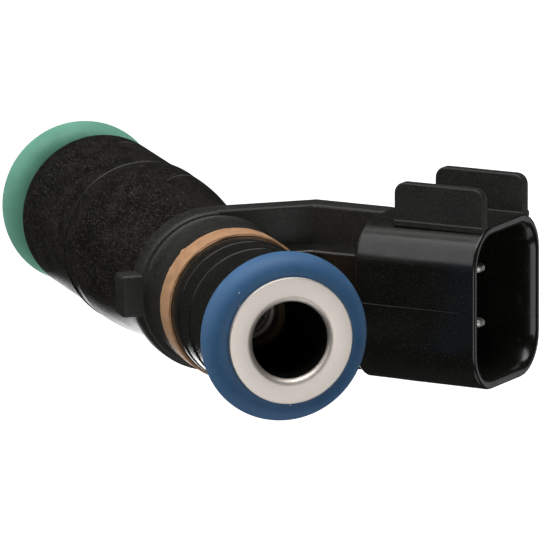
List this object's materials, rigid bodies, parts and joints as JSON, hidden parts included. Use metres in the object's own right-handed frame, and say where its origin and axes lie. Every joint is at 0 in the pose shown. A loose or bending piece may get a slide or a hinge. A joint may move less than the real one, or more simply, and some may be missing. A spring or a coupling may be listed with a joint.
{
  "type": "fuel injector",
  "caption": "Port fuel injector: round body with a seal ring near each end, steel fuel inlet on top, spray nozzle below, and an electrical connector on a tilted side arm.",
  "frame": {"origin": "on the injector axis, at the nozzle end face of the lower retainer", "axes": "+Z along the injector axis towards the fuel inlet, +X towards the electrical connector"},
  "size_m": [0.0353, 0.0178, 0.0689],
  "materials": {
    "stainless_tube": "dull drawn stainless steel",
    "blue_seal": "satin blue fluoro-rubber",
    "green_seal": "satin green fluoro-rubber",
    "black_ring": "black glass-filled nylon, fine grain",
    "tan_band": "tan dyed nylon band",
    "brass_ring": "drawn brass",
    "filter_plastic": "natural nylon",
    "filter_gauze": "woven nylon gauze",
    "spring_steel": "bright spring steel",
    "core_steel": "machined soft magnetic steel",
    "valve_steel": "ground hardened steel",
    "bobbin_plastic": "brown high-temperature nylon",
    "copper_wire": "enamelled copper wire",
    "body_plastic": "black glass-filled nylon, grained, glossy on the neck and shroud",
    "sleeve_plastic": "black glass-filled nylon, grained",
    "tinned_blade": "tin-plated brass"
  },
  "bodies": {
    "housing": {"inlet_tube": "stainless_tube", "upper_oring": "blue_seal", "upper_backup_ring": "black_ring", "colour_ring": "tan_band", "filter_ring": "brass_ring", "filter_frame": "filter_plastic", "filter_mesh": "filter_gauze", "adjusting_sleeve": "spring_steel", "return_spring": "spring_steel", "pole_core": "core_steel", "nonmagnetic_ring": "stainless_tube", "valve_tube": "stainless_tube", "needle_guide": "valve_steel", "valve_seat": "valve_steel", "orifice_disc": "stainless_tube", "coil_bobbin": "bobbin_plastic", "coil_winding": "copper_wire", "magnet_shell": "core_steel", "flux_washer": "core_steel", "overmould": "body_plastic", "terminals": "tinned_blade", "lower_sleeve": "sleeve_plastic", "lower_backup_ring": "black_ring", "lower_oring": "green_seal", "lower_retainer": "black_ring"},
    "valve": {"armature": "core_steel", "valve_needle": "valve_steel", "valve_ball": "valve_steel"}
  },
  "joints": [
    {"name": "needle_lift", "type": "slide", "parent": "housing", "child": "valve", "axis": [0, 0, 1], "range_m": [0, 0.0001], "stiffness_N_per_m": 1200, "springref_m": -0.003, "deforming": ["return_spring"]}
  ]
}
